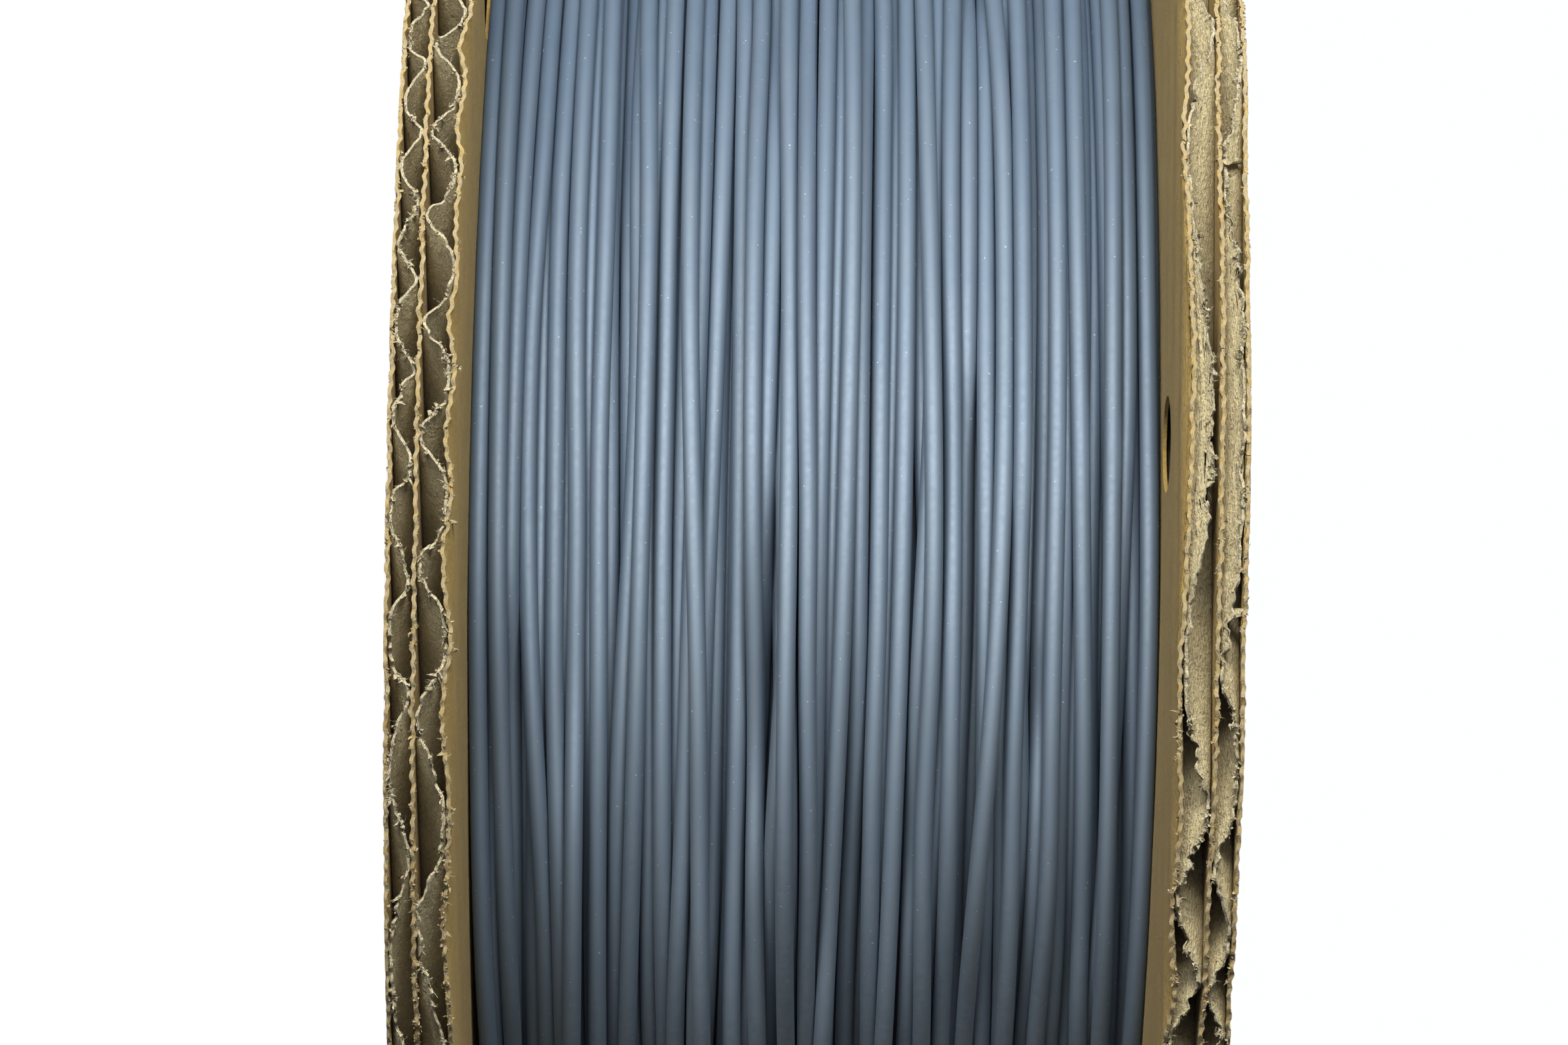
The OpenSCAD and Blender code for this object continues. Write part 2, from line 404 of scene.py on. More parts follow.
def cut_depth(angle, seed, torn):
    """How far the cut edge stays inside the full radius, in millimetres until the last line: CUT_BACK
    with scallops and noise, and for a torn paper deeper bites, where the noise passes BITE_FROM."""
    rough = CUT_ROUGH * rough_noise(angle, 1.1 * MM, seed + 1, 4)
    depth = CUT_BACK + SCALLOP_DEEP * scallops(angle, seed) + rough
    depth += CUT_WANDER * rough_noise(angle, 30 * MM, seed + 2)
    bites = np.maximum(rough_noise(angle, 2.4 * MM, seed + 3, 4) - BITE_FROM, 0)
    ragged = RAGGED * rough_noise(angle, 0.8 * MM, seed + 4, 2)
    return (depth + torn * (TORN_BACK + BITE_DEEP * bites + ragged)) * MM


def wave_height(across, pitch, height, pinch):
    """A flute's middle line: a cosine with half its wavelength added, which makes its upper tips
    narrower where pinch is above nought, and its lower tips where it is below."""
    reach = (height - MEDIUM_T) / 2
    phase = across / pitch * 2 * math.pi
    return reach * (np.cos(phase) + pinch * (np.cos(2 * phase) - 1))


# %% [markdown]
# ## The ten plies
# Each ply is one closed sheet of paper. The liners are flat but for their edges, and the two media
# follow their flutes, with the paper's thickness laid off square to the slope. A disc with a picture
# of flutes round its rim would look right only from the side, so the flutes are real and open. The
# points of each cut are kept in rims, because the fuzz grows from them.

# %% Make a ply
CUT_FADE = 3 * MM
FACE_ROUGH = 0.05 * MM
# painted shade: fluted paper is darkened from this distance inside the rim, fully over the next one
PAINTED_SHADE_FROM = 1.2 * MM
PAINTED_SHADE_OVER = 11 * MM
SHEET_LIMITS = (FLOOR_Z, SPOOL_H)
PINCH = 0.16
rims = {}


def finish_ply(name, board, seed, torn, middle, thickness, slope, material, limits):
    """middle(u, angle, inside) is the height of the paper's middle and slope(u) how steep it is, so the
    two faces lie half a thickness away along (-slope, 1) over its length. Two values go with the points:
    cut is 1 at the cut edge, and deep grows from 0 to 1 away from the rim. The paper materials use deep
    as the mask of painted shade."""
    u, v, faces = board["grid"]
    radius = np.hypot(u, v)
    angle = np.arctan2(v, u)
    world_angle = angle + math.radians(board["flute_angle"])
    inside = np.maximum(FLANGE_R - radius, 0)
    fade = np.clip(1 - inside / CUT_FADE, 0, 1) ** 2
    sheets = []
    for side in (1, -1):
        depth = cut_depth(world_angle, seed, torn)
        depth += FACE_ROUGH * rough_noise(world_angle, 0.9 * MM, seed + 7 + side)
        shrink = 1 - np.maximum(depth, 0) * fade / np.maximum(radius, 1 * MM)
        across, along = u * shrink, v * shrink
        steep = slope(across)
        lay_off = side * thickness / 2 / np.sqrt(1 + steep**2)
        height = middle(across, world_angle, inside) + lay_off
        x, y = place_on_board(board, across - lay_off * steep, along)
        sheets.append(np.stack([x, y, np.clip(height, *limits)], axis=1))
    points, faces = close_sheet(*sheets, faces)
    cut = np.clip(1 - inside / RIM_STEPS[2], 0, 1)
    rims[name] = np.stack([sheets[0][cut == 1], sheets[1][cut == 1]])
    # deep is the mask of the painted shade in the paper materials
    deep = np.clip((inside - PAINTED_SHADE_FROM) / PAINTED_SHADE_OVER, 0, 1)
    values = {"cut": np.concatenate([cut, cut]), "deep": np.concatenate([deep, deep])}
    mesh = build_mesh(name, points, faces, **values)
    return add_piece(name + "_ply", mesh, material, [name])


def make_liner(level, ply, material, sag, joint_flute, seed):
    """A liner stays flat, sinks by sag between the joints with the flutes of joint_flute, and
    flutters with the teeth of the die at its very edge."""
    board = BOARDS[level]
    name = f"{level}_{ply}_liner"
    low, high = (corner.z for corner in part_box(name))
    flute = FLUTES[joint_flute]
    joint = flute[f"{level}_crest"]
    if (level == "lower") != (ply == "inner"):
        joint += flute["pitch"] / 2

    def middle(across, angle, inside):
        between = 0.5 - 0.5 * np.cos((across - joint) / flute["pitch"] * 2 * math.pi)
        uneven = 0.7 + 0.5 * rough_noise(angle, 18 * MM, seed + 31)
        deep = sag * between * uneven * np.exp(-((inside / (4.5 * MM)) ** 1.5))
        flutter = 0.1 * MM * scallops(angle, seed + 5) + 0.2 * MM * rough_noise(angle, 1.3 * MM, seed + 6)
        flutter = flutter * np.exp(-inside / (0.8 * MM))
        drift = 0.16 * MM * rough_noise(angle, 22 * MM, seed + 8) * np.exp(-inside / (7 * MM))
        return (low + high) / 2 + deep + flutter + drift

    flat = np.zeros_like
    return finish_ply(name, board, seed, 0, middle, high - low, flat, material,
                      SHEET_LIMITS)


def make_medium(level, flute_name, material, seed):
    """A medium's height is a wave across its flutes, pinched at the joints with the middle liner. Near
    the rim the wave is pushed aside and crushed a little, by noise along the cut."""
    board, flute = BOARDS[level], FLUTES[flute_name]
    name = f"{level}_{flute_name}_medium"
    low, high = (corner.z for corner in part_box(name))
    pitch, crest = flute["pitch"], flute[f"{level}_crest"]
    pinch = PINCH if (level == "lower") == (flute_name == "b") else -PINCH

    def middle(across, angle, inside):
        push = 0.5 * MM * rough_noise(angle, 5 * MM, seed + 41) * np.exp(-inside / (3 * MM))
        uneven = 0.5 + 0.5 * rough_noise(angle, 9 * MM, seed + 42)
        crush = 1 - 0.22 * uneven * np.exp(-inside / (1.5 * MM))
        frayed = 0.22 * MM * rough_noise(angle, 1.2 * MM, seed + 43) * np.exp(-inside / (0.5 * MM))
        wave = wave_height(across - crest + push, pitch, high - low, pinch)
        return (low + high) / 2 + crush * wave + frayed

    def slope(across):
        step = 0.05 * MM
        ahead = wave_height(across - crest + step, pitch, high - low, pinch)
        behind = wave_height(across - crest - step, pitch, high - low, pinch)
        return (ahead - behind) / (2 * step)

    return finish_ply(name, board, seed, 1, middle, MEDIUM_T, slope, material, (low, high))


# %% [markdown]
# ## Materials: shared node groups
# Paper is a felt of fibres, and both the liners and the fluted paper show it, in their own colours
# and strengths. So the felt is one node group, which gives a colour and a height. Each material then
# places it with its own values.

# %% Node group helpers


class Nodes:
    """Small help for writing node trees: make() adds a node and link() joins two sockets."""

    def __init__(self, tree):
        self.tree = tree

    def make(self, kind, inputs=None, **settings):
        """Adds a node, sets its settings, and gives each named input a value or a link."""
        node = self.tree.nodes.new(kind)
        for key, value in settings.items():
            setattr(node, key, value)
        for key, value in (inputs or {}).items():
            if isinstance(value, bpy.types.NodeSocket):
                self.tree.links.new(value, node.inputs[key])
            else:
                node.inputs[key].default_value = value
        return node

    def math(self, operation, a, b):
        """One calculation with two values."""
        return self.make("ShaderNodeMath", {0: a, 1: b}, operation=operation).outputs[0]

    def mix(self, share, a, b):
        """The colour a where share is 0, and b where it is 1."""
        node = self.make("ShaderNodeMix", data_type="RGBA")
        for socket, value in zip((node.inputs[0], node.inputs[6], node.inputs[7]), (share, a, b)):
            if isinstance(value, bpy.types.NodeSocket):
                self.tree.links.new(value, socket)
            else:
                socket.default_value = value
        return node.outputs[2]

    def band(self, value, low, high, to_low=0.0, to_high=1.0):
        """A value from low to high, stretched to run from to_low to to_high and held there."""
        node = self.make(
            "ShaderNodeMapRange",
            {"Value": value, "From Min": low, "From Max": high, "To Min": to_low, "To Max": to_high},
        )
        return node.outputs[0]

    def noise(self, vector, scale, detail=3.0, rough=0.55):
        """Noise with about scale knots to the metre."""
        node = self.make(
            "ShaderNodeTexNoise",
            {"Vector": vector, "Scale": scale, "Detail": detail, "Roughness": rough},
        )
        return node.outputs["Fac"]


def new_group(name, inputs, outputs):
    """A node group with named sockets, given as (name, kind, value)."""
    tree = bpy.data.node_groups.new(name, "ShaderNodeTree")
    kinds = {"color": "NodeSocketColor", "float": "NodeSocketFloat", "vector": "NodeSocketVector"}
    for label, kind, value in inputs:
        socket = tree.interface.new_socket(label, in_out="INPUT", socket_type=kinds[kind])
        socket.default_value = value
    for label, kind in outputs:
        tree.interface.new_socket(label, in_out="OUTPUT", socket_type=kinds[kind])
    nodes = Nodes(tree)
    return nodes, nodes.make("NodeGroupInput").outputs, nodes.make("NodeGroupOutput").inputs, tree


# %% The paper felt
FIBRE_TURNS = ((0.3, 0.9, 0.4), (1.1, 0.2, 1.5), (0.7, 1.3, 2.6))
FIBRE_SCALE = (1300, 6000, 6000)
SPECK = (0.08, 0.055, 0.03, 1)


def make_felt_group():
    """Fibres are noise that FIBRE_SCALE stretches along one direction, for each of FIBRE_TURNS, and
    the strongest of the three counts. Mottling is noise of two broad sizes, grain is fine noise, and
    specks are where noise passes a high threshold. Height adds up grain, fibres and mottling."""
    nodes, given, put_out, tree = new_group(
        "paper felt",
        [("Color", "color", (0.5, 0.4, 0.25, 1)), ("Dark", "color", (0.3, 0.2, 0.1, 1)),
         ("Light", "color", (0.7, 0.65, 0.5, 1)), ("Mottling", "float", 0.5), ("Fibres", "float", 0.5),
         ("Specks", "float", 0.3)],
        [("Color", "color"), ("Height", "float")],
    )
    place = nodes.make("ShaderNodeTexCoord").outputs["Object"]
    fibres = None
    for turn in FIBRE_TURNS:
        mapping = nodes.make(
            "ShaderNodeMapping",
            {"Vector": place, "Rotation": turn, "Scale": FIBRE_SCALE},
        )
        strand = nodes.noise(mapping.outputs[0], 1.0, 2.0)
        strand = nodes.band(strand, 0.56, 0.7)
        fibres = strand if fibres is None else nodes.math("MAXIMUM", fibres, strand)
    grain = nodes.noise(place, 2600, 4.0, 0.65)
    broad = nodes.noise(place, 320, 3.0)
    wide = nodes.noise(place, 45, 2.0)
    color = nodes.mix(nodes.math("MULTIPLY", nodes.band(broad, 0.35, 0.7), given["Mottling"]),
                      given["Color"], given["Dark"])
    color = nodes.mix(nodes.math("MULTIPLY", nodes.band(wide, 0.4, 0.75), given["Mottling"]),
                      color, given["Dark"])
    color = nodes.mix(nodes.math("MULTIPLY", nodes.band(grain, 0.35, 0.7), 0.6), color, given["Light"])
    color = nodes.mix(nodes.math("MULTIPLY", fibres, given["Fibres"]), color, given["Light"])
    speck = nodes.band(nodes.noise(place, 1500, 1.0), 0.71, 0.76)
    color = nodes.mix(nodes.math("MULTIPLY", speck, given["Specks"]), color, SPECK)
    tree.links.new(color, put_out["Color"])
    height = nodes.math("ADD", nodes.math("MULTIPLY", grain, 0.7), nodes.math("MULTIPLY", fibres, 0.5))
    height = nodes.math("ADD", height, nodes.math("MULTIPLY", broad, 0.8))
    tree.links.new(height, put_out["Height"])
    return tree


felt_group = make_felt_group()
print("made the group", felt_group.name)

# %% [markdown]
# ## The papers
# Kraft liner is a smooth brown sheet, fluted paper is paler and coarser, and greyboard is grey and
# speckled. One function makes all three from their colours. A cut edge is paler than a face. Hardly any
# light reaches deep between the liners, and fluted paper also has painted shade on top of that: its
# colour is mixed towards a dark brown away from the rim.

# %% Paper materials
# the dark brown of painted shade, mixed into fluted paper away from the rim
PAINTED_HOLLOW_SHADE = (0.035, 0.024, 0.01, 1)


def new_material(name):
    """An empty material with its node tree, and the output node ready."""
    material = bpy.data.materials.new(name)
    material.use_nodes = True
    material.node_tree.nodes.clear()
    nodes = Nodes(material.node_tree)
    return material, nodes, nodes.make("ShaderNodeOutputMaterial")


def paper_material(name, color, dark, light, edge, mottling=0.5, fibres=0.5, specks=0.3, depth=0.05,
                   painted_shade=0.0):
    """Felted paper. The attribute "cut", roughened by noise, mixes in the edge's colour. The attribute
    "deep", times the painted-shade strength, mixes in a dark brown as painted shade, so the paper grows
    darker away from the rim. The felt's height is depth millimetres of bump."""
    material, nodes, output = new_material(name)
    felt = nodes.make("ShaderNodeGroup", node_tree=felt_group)
    for label, value in (("Color", color), ("Dark", dark), ("Light", light), ("Mottling", mottling),
                         ("Fibres", fibres), ("Specks", specks)):
        felt.inputs[label].default_value = value
    cut = nodes.make("ShaderNodeAttribute", attribute_name="cut").outputs["Fac"]
    place = nodes.make("ShaderNodeTexCoord").outputs["Object"]
    ragged = nodes.band(nodes.noise(place, 1400, 3.0), 0.3, 0.7, -0.35, 0.35)
    share = nodes.band(nodes.math("ADD", cut, ragged), 0.5, 1.1)
    deep = nodes.make("ShaderNodeAttribute", attribute_name="deep").outputs["Fac"]
    shade = nodes.math("MULTIPLY", deep, painted_shade)
    felt_and_painted_shade = nodes.mix(shade, felt.outputs["Color"], PAINTED_HOLLOW_SHADE)
    tint = nodes.mix(share, felt_and_painted_shade, edge)
    bump = nodes.make(
        "ShaderNodeBump",
        {"Height": felt.outputs["Height"], "Distance": depth * MM, "Strength": 1.0},
    )
    surface = nodes.make(
        "ShaderNodeBsdfPrincipled",
        {"Base Color": tint, "Roughness": 0.92, "Specular IOR Level": 0.1, "Normal": bump.outputs[0],
         "Sheen Weight": 0.08, "Sheen Roughness": 0.6},
    )
    nodes.tree.links.new(surface.outputs[0], output.inputs["Surface"])
    return material


liner_material = paper_material(
    "kraft liner", (0.46, 0.297, 0.066, 1), (0.33, 0.20, 0.035, 1), (0.53, 0.39, 0.135, 1),
    (0.40, 0.325, 0.185, 1), mottling=0.6, fibres=0.35, depth=0.1,
)
# fluted paper gets painted shade, darker away from the rim
fluting_material = paper_material(
    "fluted paper", (0.60, 0.51, 0.275, 1), (0.37, 0.29, 0.13, 1), (0.78, 0.70, 0.46, 1),
    (0.56, 0.50, 0.34, 1), mottling=0.7, fibres=0.7, specks=0.6, depth=0.3, painted_shade=0.92,
)
greyboard_material = paper_material(
    "spiral-wound greyboard", (0.36, 0.31, 0.24, 1), (0.25, 0.21, 0.16, 1), (0.5, 0.45, 0.36, 1),
    (0.5, 0.44, 0.34, 1), mottling=0.5, fibres=0.3, specks=0.6,
)
print("paper materials:", liner_material.name, fluting_material.name, greyboard_material.name)

# %% [markdown]
# ## The two boards
# The two flanges are the same board turned over, so one loop makes both, and inward is the way from
# the flange's outer face to the winding. The outer liner sinks between the small flutes and the other
# two between the large ones. The inner liner, next to the winding, sinks the most.

# %% Build the ten plies
OUTER_SAG = 0.25 * MM
MIDDLE_SAG = 0.12 * MM
INNER_SAG = -0.95 * MM
for level, inward in (("lower", 1), ("upper", -1)):
    seed = BOARDS[level]["seed"]
    make_liner(level, "outer", liner_material, OUTER_SAG * inward, "b", seed + 1)
    make_liner(level, "middle", liner_material, MIDDLE_SAG * inward, "c", seed + 200)
    make_liner(level, "inner", liner_material, INNER_SAG * inward, "c", seed + 300)
    make_medium(level, "b", fluting_material, seed + 400)
    make_medium(level, "c", fluting_material, seed + 500)

# %% [markdown]
# ## Fuzz on the cut edges
# Torn paper ends in fibres. Single fibres stand out of every rim, and small flakes of felt hang from
# the cuts. Hair would have to be made a mesh first, so both are bent spikes with three sides, the
# flakes wide and flat. There are thousands of them, so each one has only a few faces.

# %% Spikes
SPIKE_CORNERS = ((-0.5, -0.3), (0.5, -0.3), (0.0, 0.6))
SPIKE_FACES = np.array([
    [0, 1, 4, 3], [1, 2, 5, 4], [2, 0, 3, 5],
    [3, 4, 6, 3], [4, 5, 6, 4], [5, 3, 6, 5], [0, 2, 1, 0],
])
SPIKE_POINTS = 7
KNEE_SIZE = 0.75
EDGE_GAP = 0.01 * MM
OUTWARD_LEAN = 0.55
ROOT_DEPTH = 0.06 * MM


def unit(rows):
    """Each row divided by its length."""
    return rows / np.maximum(np.linalg.norm(rows, axis=1, keepdims=True), 1e-12)


def spikes(root, heading, bend, length, width, thickness):
    """A spike runs from its root along its heading for half its length, then along heading + bend to
    a point. Its two rings are triangles, width wide and thickness thick, the second KNEE_SIZE of the
    first."""
    heading = unit(heading)
    side = unit(np.cross(heading, bend))
    lift = np.cross(side, heading)
    length, width, thickness = length[:, None], width[:, None], thickness[:, None]
    knee = root + 0.5 * length * heading
    tip = knee + 0.5 * length * unit(heading + bend)
    rings = [start + size * (a * width * side + b * thickness * lift)
             for start, size in ((root, 1.0), (knee, KNEE_SIZE)) for a, b in SPIKE_CORNERS]
    points = np.stack(rings + [tip], axis=1)
    faces = SPIKE_FACES[None] + SPIKE_POINTS * np.arange(len(root))[:, None, None]
    return points.reshape(-1, 3), faces.reshape(-1, 4)


def keep_inside(points):
    """Points are drawn in to the full radius and to the flanges' heights."""
    radius = np.hypot(points[:, 0], points[:, 1])
    scale = np.minimum(1, (FLANGE_R - EDGE_GAP) / radius)
    points[:, :2] *= scale[:, None]
    points[:, 2] = np.clip(points[:, 2], FLOOR_Z, SPOOL_H)
    return points


def fuzz_on(names, count, length, width, thickness, seed):
    """Spikes on random places of the plies' rims, in tufts, with headings that lean outward. Their
    sizes follow an exponential curve, so most are short and a few are long."""
    rng = np.random.default_rng(seed)
    rim = np.concatenate([np.concatenate(rims[name]) for name in names])
    angle = np.arctan2(rim[:, 0], -rim[:, 1])
    tufts = np.maximum(rough_noise(angle + 40 * rim[:, 2], 3 * MM, seed) + 0.25, 0.03) ** 2
    root = rim[rng.choice(len(rim), count, p=tufts / tufts.sum())]
    radial = root * (1, 1, 0) / np.hypot(root[:, 0], root[:, 1])[:, None]
    heading = rng.normal(0, 1, (count, 3)) + OUTWARD_LEAN * radial
    bend = rng.normal(0, 0.8, (count, 3))
    size = np.minimum(rng.exponential(1, count) + 0.35, 3.2)
    points, faces = spikes(root - ROOT_DEPTH * radial, heading, bend, length * size,
                           width * rng.uniform(0.6, 1.4, count), np.full(count, thickness))
    return keep_inside(points), faces


# %% Put the fuzz on: name, plies, count, length, width and thickness
liners = [name for name in rims if name.endswith("liner")]
media = [name for name in rims if name.endswith("medium")]
for name, names, count, length, width, thickness in (
    ("liner_fibres", liners, 11000, 0.32 * MM, 0.05 * MM, 0.045 * MM),
    ("fluting_fibres", media, 12000, 0.42 * MM, 0.05 * MM, 0.045 * MM),
    ("liner_flakes", liners, 8000, 0.26 * MM, 0.3 * MM, 0.08 * MM),
    ("fluting_flakes", media, 8000, 0.36 * MM, 0.36 * MM, 0.08 * MM),
):
    points, faces = fuzz_on(names, count, length, width, thickness, len(name))
    mesh = build_mesh(name, points, faces, smooth=False, cut=np.ones(len(points)))
    add_piece(name, mesh, liner_material if names is liners else fluting_material, names)
    print(name, count)

# %% [markdown]
# ## Torn flaps
# In a few places the die has pulled a scrap of fluted paper loose, and it curls away from the cut.
# Each is a small sheet, rolled along its length, with a ragged outline. A scrap is listed with its
# ply, its angle from the front in degrees, its length and width in millimetres, and the way it
# points along the rim.

# %% Flaps
FLAP_ROWS = 12
FLAP_COLUMNS = 9
ROLL = 0.45
FLAP_CUT = 0.45
FLAPS = (
    ("lower_c_medium", -7.7, 1.9, 1.5, -1), ("lower_c_medium", -0.5, 1.6, 1.2, 1),
    ("lower_c_medium", 5.8, 1.8, 1.3, 1), ("lower_c_medium", 14.3, 1.7, 1.2, 1),
    ("lower_b_medium", -8.4, 1.2, 0.9, 1), ("lower_b_medium", 10.2, 1.1, 0.8, -1),
    ("upper_b_medium", -19.9, 2.2, 2.4, 1), ("upper_b_medium", 3.7, 2.0, 1.6, -1),
    ("upper_c_medium", 9.4, 1.6, 1.1, 1), ("upper_b_medium", 25.2, 2.4, 1.9, 1),
    ("upper_c_medium", 18.5, 1.4, 1.0, -1), ("lower_c_medium", 110, 1.8, 1.4, 1),
    ("upper_c_medium", 150, 1.7, 1.3, -1), ("lower_b_medium", 205, 1.5, 1.2, 1),
    ("upper_b_medium", 250, 1.8, 1.4, 1), ("lower_c_medium", 300, 1.6, 1.2, -1),
)


def flap(name, degrees, length, width, turn, seed):
    """A strip on the rim point nearest to its angle. Along its length s it follows an arc with a
    radius of ROLL times the length, first along the rim and then away from it, and its width narrows
    raggedly."""
    rng = np.random.default_rng(seed)
    top = rims[name][0]
    angle = np.arctan2(top[:, 0], -top[:, 1])
    root = top[np.argmin(np.abs(np.angle(np.exp(1j * (angle - math.radians(degrees))))))]
    radial = root * (1, 1, 0) / np.hypot(root[0], root[1])
    tangent = np.array([-radial[1], radial[0], 0])
    along = tangent * turn + 0.5 * rng.normal(0, 1) * np.array([0, 0, 1.0]) - 0.2 * radial
    along /= np.linalg.norm(along)
    across = np.cross(along, radial)
    across /= np.linalg.norm(across)
    out = np.cross(across, along)
    s, t = np.meshgrid(np.linspace(0, 1, FLAP_ROWS), np.linspace(-1, 1, FLAP_COLUMNS), indexing="ij")
    reach = ROLL * length * MM
    bend = s * 2.6 + 0.25 * t
    ragged = 1 - 0.35 * s + 0.14 * rng.normal(0, 1, s.shape) * (np.abs(t) > 0.8)
    surface = (
        root - 0.5 * MM * radial
        + (reach * np.sin(bend))[..., None] * along
        + (reach * (1 - np.cos(bend)) * 0.55)[..., None] * (out * 0.25 - 0.9 * np.sign(turn) * across)
        + (0.5 * width * MM * ragged * t)[..., None] * (0.75 * across + 0.65 * radial)
        + 0.05 * MM * rng.normal(0, 1, s.shape)[..., None] * out
    ).reshape(-1, 3)
    thick = 0.12 * MM * (0.8 * out + 0.4 * across)
    row, column = np.meshgrid(np.arange(FLAP_ROWS - 1), np.arange(FLAP_COLUMNS - 1), indexing="ij")
    corner = (row * FLAP_COLUMNS + column).ravel()
    faces = np.stack([corner, corner + FLAP_COLUMNS, corner + FLAP_COLUMNS + 1, corner + 1], axis=1)
    points, faces = close_sheet(surface + thick, surface - thick, faces)
    return keep_inside(points), faces


flap_points, flap_faces = [], []
for number, (name, degrees, length, width, turn) in enumerate(FLAPS):
    points, faces = flap(name, degrees, length, width, turn, number)
    flap_faces.append(faces + sum(len(points) for points in flap_points))
    flap_points.append(points)
points, faces = np.vstack(flap_points), np.vstack(flap_faces)
mesh = build_mesh("torn_flaps", points, faces, cut=np.full(len(points), FLAP_CUT))
add_piece("torn_flaps", mesh, fluting_material, media)
print("torn flaps:", len(FLAPS))

# %% [markdown]
# ## The cable's jacket
# The jacket is a satin plastic. Its tone drifts a little along the strand, and handling leaves pale
# clouds and specks of dust. A picture wrapped on it would have to be laid out along every turn, so
# the drift is a value on each point, and the rest is noise.

# %% Jacket material
JACKET_DARK = (0.054, 0.083, 0.128, 1)
JACKET_LIGHT = (0.063, 0.093, 0.138, 1)
JACKET_CLOUD = (0.088, 0.116, 0.15, 1)
JACKET_DUST = (0.62, 0.66, 0.68, 1)
JACKET_SHEEN = (0.74, 0.88, 1, 1)


def jacket_material():
    """Two close tones mixed by the attribute "tone", paler clouds and dust from noise on top, and fine
    noise in the roughness and the height. The gloss is tinted blue."""
    material, nodes, output = new_material("cable jacket")
    place = nodes.make("ShaderNodeTexCoord").outputs["Object"]
    tone = nodes.make("ShaderNodeAttribute", attribute_name="tone").outputs["Fac"]
    cloud = nodes.noise(place, 160, 2.0)
    fine = nodes.noise(place, 1700, 3.0)
    base = nodes.mix(nodes.band(tone, 0, 1), JACKET_DARK, JACKET_LIGHT)
    base = nodes.mix(nodes.band(cloud, 0.35, 0.7, 0, 0.25), base, JACKET_CLOUD)
    dust = nodes.band(nodes.noise(place, 2300, 1.0), 0.76, 0.79)
    base = nodes.mix(nodes.math("MULTIPLY", dust, 0.3), base, JACKET_DUST)
    rough = nodes.band(fine, 0.3, 0.7, 0.63, 0.7)
    bump = nodes.make("ShaderNodeBump", {"Height": fine, "Distance": 0.006 * MM, "Strength": 1.0})
    surface = nodes.make(
        "ShaderNodeBsdfPrincipled",
        {"Base Color": base, "Roughness": rough, "Specular IOR Level": 0.95,
         "Specular Tint": JACKET_SHEEN, "Normal": bump.outputs[0]},
    )
    nodes.tree.links.new(surface.outputs[0], output.inputs["Surface"])
    return material


cable_material = jacket_material()
loose_end.data.materials.append(cable_material)
print("jacket material:", cable_material.name)

# %% [markdown]
# ## Winding the cable
# A machine lays the strand to and fro between the flanges. Each turn drops onto the turns below,
# slides towards the nearest valley, and crosses over where it has to. That is what gives a wound
# spool its uneven gaps, so the winding is worked out in the same way, turn by turn, on numpy arrays
# that hold the whole turn at once. Only the outer layers are wound. What lies below is one ribbed
# ring.

# %% Lay one turn on another
STEPS = 180
LAYERS = 4
LAYER_RISE = 0.87
TURN_PITCH = 2.8 * MM
WANDER = 1.25 * MM
WANDER_KNOTS = 4
TURNS_BELOW = 90
SLIDE_ROUNDS = 16
SLIDE = 0.09 * MM
PULL = 0.08
PROBE = 0.12 * MM
JOIN_ANGLE = math.radians(9)
TURN_START = math.atan2(end_start[0], -end_start[1])
LAY_LOW, LAY_HIGH = WINDING_LOW + CABLE_D / 2, WINDING_HIGH - CABLE_D / 2
turn_angle = np.linspace(0, 2 * math.pi, STEPS + 1)
lay_rng = np.random.default_rng(5)


def resting_radius(z, laid_z, laid_r, floor_r):
    """Where a strand at z comes to rest: on the highest of the strands within one diameter, as two
    circles that touch, or on the floor of the winding."""
    if not len(laid_z):
        return np.full(z.shape, floor_r)
    aside = np.abs(z - laid_z)
    rest = np.where(aside < CABLE_D, laid_r + np.sqrt(np.maximum(CABLE_D**2 - aside**2, 0)), floor_r)
    return np.maximum(rest.max(0), floor_r)


def smoothed(values, width):
    """Gaussian average along the turn, with the ends held."""
    reach = int(3 * width)
    weights = np.exp(-0.5 * (np.arange(-reach, reach + 1) / width) ** 2)
    padded = np.concatenate([np.full(reach, values[0]), values, np.full(reach, values[-1])])
    return np.convolve(padded, weights / weights.sum(), mode="valid")


def lay_turn(wanted, start, laid_z, laid_r, floor_r):
    """The strand starts where the last turn ended. In each round it slides down the slope of what it
    rests on, is pulled a little towards its wanted place, and is smoothed along the turn. Its height
    is then bridged over each crossing."""
    z = wanted.copy()
    join = np.exp(-((turn_angle / JOIN_ANGLE) ** 2))
    for _ in range(SLIDE_ROUNDS):
        up = resting_radius(z + PROBE, laid_z, laid_r, floor_r)
        down = resting_radius(z - PROBE, laid_z, laid_r, floor_r)
        z = z - SLIDE * np.clip((up - down) / PROBE, -1, 1)
        z = smoothed(z + PULL * (wanted - z), 2.2)
        z = z + (start[0] - z[0]) * join
        z = np.clip(z, LAY_LOW, LAY_HIGH)
    rest = resting_radius(z, laid_z, laid_r, floor_r)
    highest = np.maximum(rest, np.maximum(np.roll(rest, 1), np.roll(rest, -1)))
    r = smoothed(highest, 1.5)
    return z, r + (start[1] - r[0]) * join


def wander(turns):
    """How far the strand strays to the side over all turns of a layer: random knots, WANDER_KNOTS to
    the turn, with a cosine from knot to knot."""
    knots = lay_rng.normal(0, 1, WANDER_KNOTS * turns + 4)
    place = np.linspace(0, WANDER_KNOTS * turns, turns * STEPS + 1)
    low = place.astype(int)
    share = 0.5 - 0.5 * np.cos(math.pi * (place - low))
    return knots[low] * (1 - share) + knots[low + 1] * share


# %% Wind the layers


